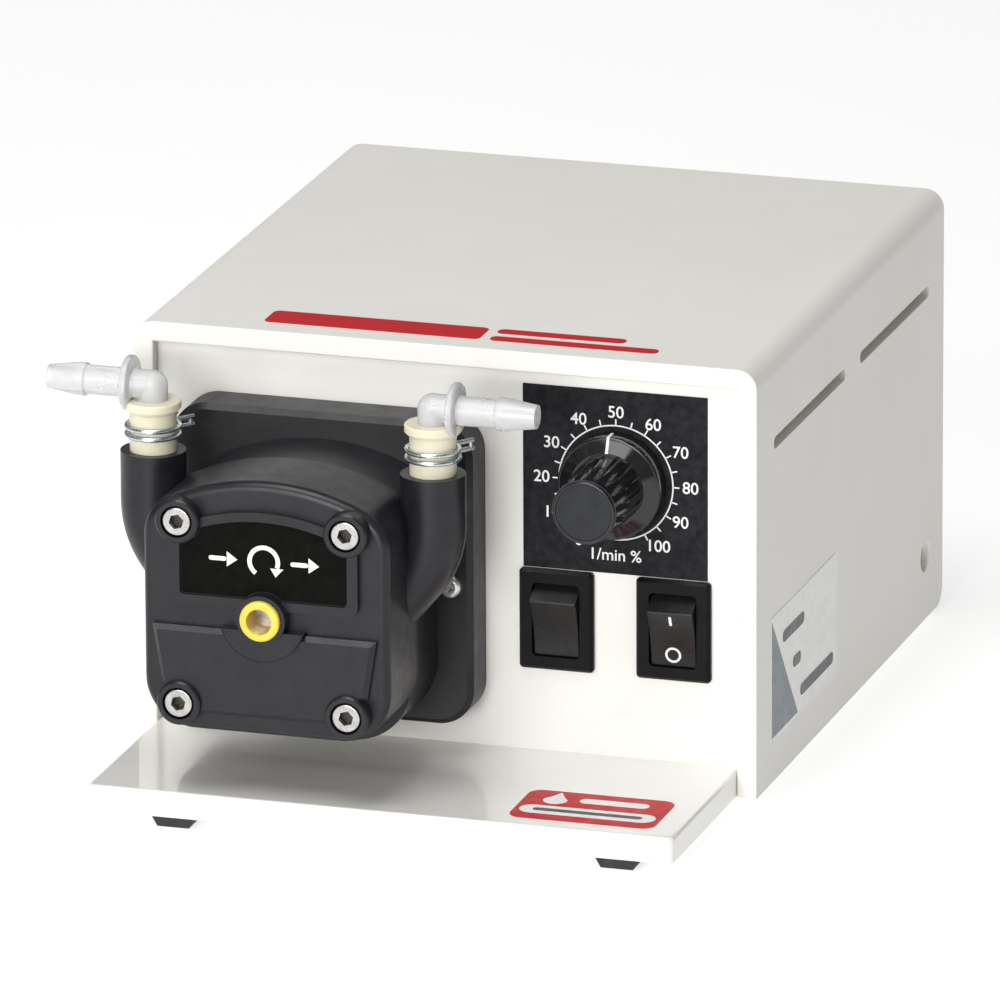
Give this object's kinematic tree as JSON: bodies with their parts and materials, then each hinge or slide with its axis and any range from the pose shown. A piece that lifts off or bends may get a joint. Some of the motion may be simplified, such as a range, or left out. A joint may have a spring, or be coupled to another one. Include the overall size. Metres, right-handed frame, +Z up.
{
  "type": "peristaltic pump",
  "caption": "Benchtop peristaltic pump: white steel housing with base, black roller pump head with hose elbows, speed dial and rocker switches.",
  "frame": {"origin": "middle of the bounding box's bottom face, at the underside of the feet", "axes": "+X to the right seen from the front, +Y towards the rear, +Z up; the pump axis is along Y"},
  "size_m": [0.2038, 0.271, 0.1332],
  "materials": {
    "housing_paint": "smooth satin powder coat",
    "head_plastic": "fine moulded texture",
    "adapter_black": "satin",
    "gasket_rubber": "matte",
    "foot_rubber": "matte",
    "screw_steel": "turned",
    "clip_zinc": "zinc plated wire",
    "label_black": "fine grained film",
    "sticker_white": "smooth film",
    "print_red": "smooth print",
    "bush_yellow": "moulded",
    "tube_cream": "soft satin",
    "elbow_clear": "translucent natural polypropylene",
    "shaft_steel": "ground",
    "roller_plastic": "machined acetal",
    "carrier_plastic": "moulded",
    "gear_plastic": "moulded acetal",
    "pinion_brass": "hobbed",
    "bush_bronze": "sintered",
    "bearing_steel": "ground",
    "gearcase_metal": "die cast",
    "motor_steel": "zinc plated",
    "motor_cap_plastic": "moulded",
    "core_steel": "laminated and varnished",
    "knob_gloss": "polished",
    "cap_grey": "matte",
    "pot_metal": "plated",
    "switch_black": "satin moulded",
    "rocker_black": "satin moulded",
    "terminal_brass": "tin plated",
    "inlet_black": "moulded",
    "board_green": "solder mask"
  },
  "bodies": {
    "root": {"cover": "housing_paint", "front_panel": "housing_paint", "base_plate": "housing_paint", "rear_panel": "housing_paint", "cover_screws": "screw_steel", "chassis_screws": "screw_steel", "side_sticker": "sticker_white", "base_label": "print_red", "top_stripe": "print_red", "adapter_plate": "adapter_black", "flange_gasket": "gasket_rubber", "plate_screws": "screw_steel", "pump_rear_shell": "head_plastic", "pump_front_shell": "head_plastic", "head_label": "label_black", "head_screws": "screw_steel", "front_bush": "bush_yellow", "rear_bearing": "bearing_steel", "pump_tube": "tube_cream", "gearbox_case": "gearcase_metal", "gearbox_cover": "gearcase_metal", "gear_bushes": "bush_bronze", "motor_can": "motor_steel", "motor_end_cap": "motor_cap_plastic", "dial_label": "label_black", "potentiometer": "pot_metal", "switch_terminals": "terminal_brass", "power_inlet": "inlet_black", "control_board": "board_green", "transformer": "core_steel", "foot_1": "foot_rubber", "foot_2": "foot_rubber", "foot_3": "foot_rubber", "foot_4": "foot_rubber", "hose_clip_left": "clip_zinc", "elbow_left": "elbow_clear", "switch_left": "switch_black", "hose_clip_right": "clip_zinc", "elbow_right": "elbow_clear", "switch_right": "switch_black"},
    "rotor": {"rotor_shaft": "shaft_steel", "carrier_front": "carrier_plastic", "carrier_rear": "carrier_plastic", "roller_pins": "shaft_steel", "output_wheel": "gear_plastic"},
    "idler": {"idler_shaft": "pinion_brass", "idler_wheel": "gear_plastic"},
    "armature": {"armature_shaft": "shaft_steel", "motor_pinion": "pinion_brass", "armature": "core_steel"},
    "dial": {"knob": "knob_gloss", "knob_cap": "cap_grey", "dial_shaft": "shaft_steel"},
    "rocker_left": {"rocker_left": "rocker_black"},
    "rocker_right": {"rocker_right": "rocker_black"},
    "fuse_drawer": {"fuse_drawer": "inlet_black"},
    "roller_1": {"roller_1": "roller_plastic"},
    "roller_2": {"roller_2": "roller_plastic"},
    "roller_3": {"roller_3": "roller_plastic"},
    "roller_4": {"roller_4": "roller_plastic"}
  },
  "joints": [
    {"name": "rotor_spin", "type": "hinge", "parent": "root", "child": "rotor", "pos_m": [-0.02768, -0.1025, 0.0664], "axis": [0, 1, 0], "continuous": true, "deforming": ["pump_tube"]},
    {"name": "roller_1_spin", "type": "hinge", "parent": "rotor", "child": "roller_1", "pos_m": [-0.02768, -0.1025, 0.0481], "axis": [0, 1, 0], "continuous": true},
    {"name": "roller_2_spin", "type": "hinge", "parent": "rotor", "child": "roller_2", "pos_m": [-0.00937, -0.1025, 0.0664], "axis": [0, 1, 0], "continuous": true},
    {"name": "roller_3_spin", "type": "hinge", "parent": "rotor", "child": "roller_3", "pos_m": [-0.02768, -0.1025, 0.0847], "axis": [0, 1, 0], "continuous": true},
    {"name": "roller_4_spin", "type": "hinge", "parent": "rotor", "child": "roller_4", "pos_m": [-0.04598, -0.1025, 0.0664], "axis": [0, 1, 0], "continuous": true},
    {"name": "idler_spin", "type": "hinge", "parent": "root", "child": "idler", "pos_m": [-0.02768, -0.0485, 0.0424], "axis": [0, 1, 0], "continuous": true},
    {"name": "armature_spin", "type": "hinge", "parent": "root", "child": "armature", "pos_m": [-0.02768, -0.0065, 0.0664], "axis": [0, 1, 0], "continuous": true},
    {"name": "dial_turn", "type": "hinge", "parent": "root", "child": "dial", "pos_m": [0.05772, -0.0695, 0.0947], "axis": [0, 1, 0], "range_deg": [-150, 150]},
    {"name": "rocker_left_tilt", "type": "hinge", "parent": "root", "child": "rocker_left", "pos_m": [0.04013, -0.0575, 0.0515], "axis": [1, 0, 0], "range_deg": [-30, 0]},
    {"name": "rocker_right_tilt", "type": "hinge", "parent": "root", "child": "rocker_right", "pos_m": [0.07573, -0.0575, 0.0515], "axis": [1, 0, 0], "range_deg": [-30, 0]},
    {"name": "fuse_drawer_slide", "type": "slide", "parent": "root", "child": "fuse_drawer", "axis": [0, 1, 0], "range_m": [0, 0.012]}
  ],
  "couplings": [
    {"joint": "roller_1_spin", "follows": "rotor_spin", "ratio": -3.44},
    {"joint": "roller_2_spin", "follows": "rotor_spin", "ratio": -3.44},
    {"joint": "roller_3_spin", "follows": "rotor_spin", "ratio": -3.44},
    {"joint": "roller_4_spin", "follows": "rotor_spin", "ratio": -3.44},
    {"joint": "idler_spin", "follows": "rotor_spin", "ratio": -4},
    {"joint": "armature_spin", "follows": "rotor_spin", "ratio": 16}
  ]
}
